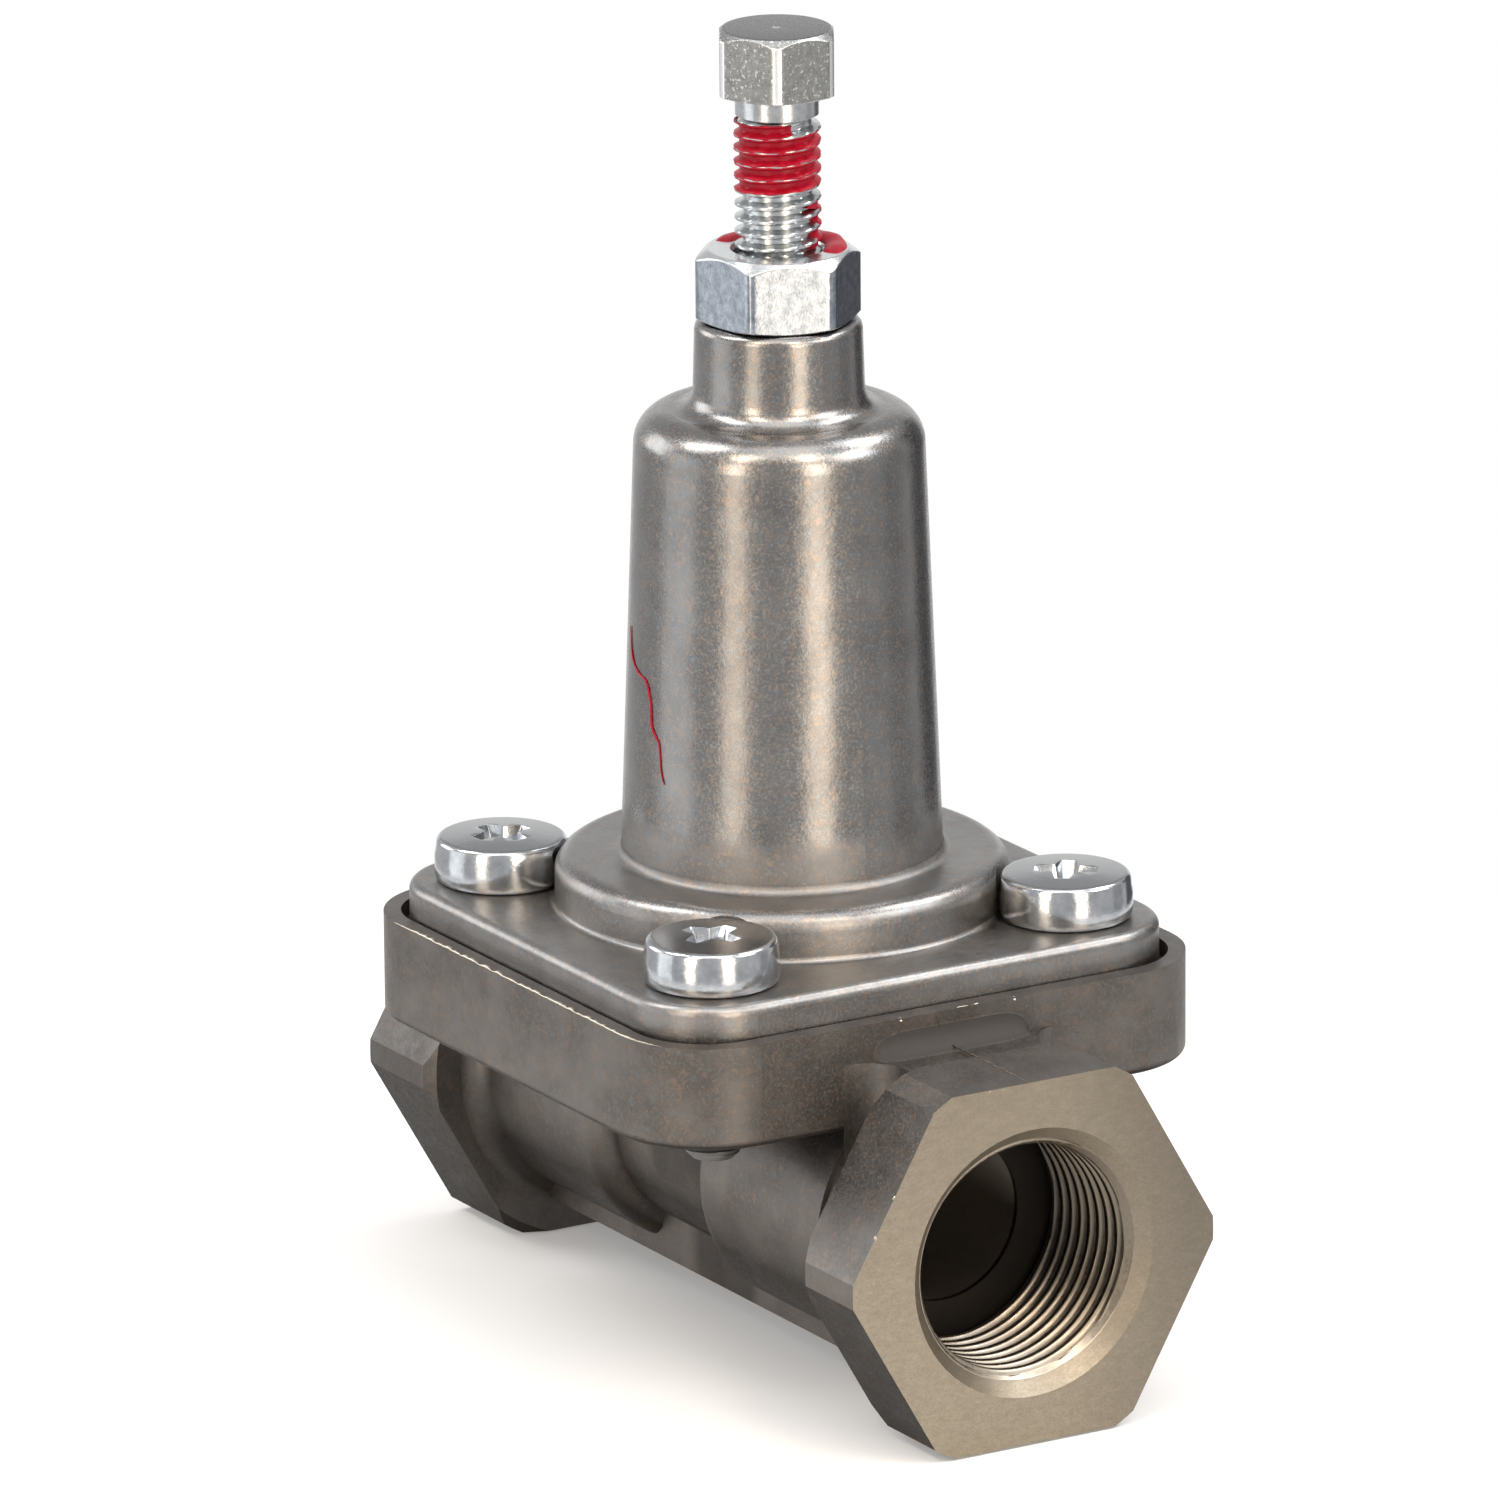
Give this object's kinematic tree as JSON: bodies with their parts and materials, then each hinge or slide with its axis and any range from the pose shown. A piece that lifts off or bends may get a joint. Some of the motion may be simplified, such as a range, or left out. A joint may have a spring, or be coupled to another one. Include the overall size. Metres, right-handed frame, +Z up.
{
  "type": "overflow valve",
  "caption": "Spring-loaded diaphragm overflow valve for compressed air with hexagonal threaded ports, bolted spring dome and a locked adjusting screw on top.",
  "frame": {"origin": "under the cover's axis, on the plane of the lower flats of both port hexagons", "axes": "+X along the ports towards the right (outlet) port, +Z up the cover's axis, +Y completes the right-handed frame"},
  "size_m": [0.0842, 0.0568, 0.1183],
  "materials": {
    "cast_body": "as-cast, tumbled, warm grey",
    "cast_cover": "as-cast, tumbled, satin",
    "zinc_screws": "bright zinc plate",
    "zinc_nut": "bright zinc plate",
    "zinc_adjuster": "zinc plate, dulled on the head",
    "turned_aluminium": "machined",
    "pressed_steel": "yellow passivated",
    "spring_steel": "phosphated",
    "rubber": "matt black",
    "guide_plastic": "filled PTFE",
    "brass": "turned"
  },
  "bodies": {
    "housing": {"valve_body": "cast_body", "cover": "cast_cover", "cover_screws": "zinc_screws", "diaphragm": "rubber", "valve_seat": "brass", "seat_seal": "rubber", "check_retainer": "pressed_steel", "snap_ring": "spring_steel", "check_spring": "spring_steel", "pressure_spring": "spring_steel"},
    "piston": {"pressure_piston": "turned_aluminium", "piston_guide_ring": "guide_plastic", "pressure_plate": "pressed_steel"},
    "spring_seat": {"upper_spring_seat": "pressed_steel", "thrust_ball": "spring_steel"},
    "screw": {"adjusting_screw": "zinc_adjuster"},
    "nut": {"lock_nut": "zinc_nut"},
    "check": {"check_plate": "turned_aluminium", "check_seal": "rubber", "check_pin": "turned_aluminium"}
  },
  "joints": [
    {"name": "screw_travel", "type": "slide", "parent": "housing", "child": "spring_seat", "axis": [0, 0, 1], "range_m": [-0.0075, 0.00375], "deforming": ["pressure_spring"]},
    {"name": "screw_turn", "type": "hinge", "parent": "spring_seat", "child": "screw", "pos_m": [0, 0, 0.09], "axis": [0, 0, 1], "range_deg": [-2170, 1090]},
    {"name": "nut_turn", "type": "hinge", "parent": "housing", "child": "nut", "pos_m": [0, 0, 0.095], "axis": [0, 0, 1], "range_deg": [0, 360]},
    {"name": "piston_lift", "type": "slide", "parent": "housing", "child": "piston", "axis": [0, 0, 1], "range_m": [0, 0.0016], "stiffness_N_per_m": 4000, "springref_m": -0.005, "deforming": ["diaphragm", "pressure_spring"]},
    {"name": "check_open", "type": "slide", "parent": "housing", "child": "check", "axis": [-1, 0, 0], "range_m": [0, 0.002], "stiffness_N_per_m": 150, "springref_m": -0.002, "deforming": ["check_spring"]}
  ],
  "couplings": [
    {"joint": "screw_turn", "follows": "screw_travel", "rad_per_m": 5026.5}
  ]
}
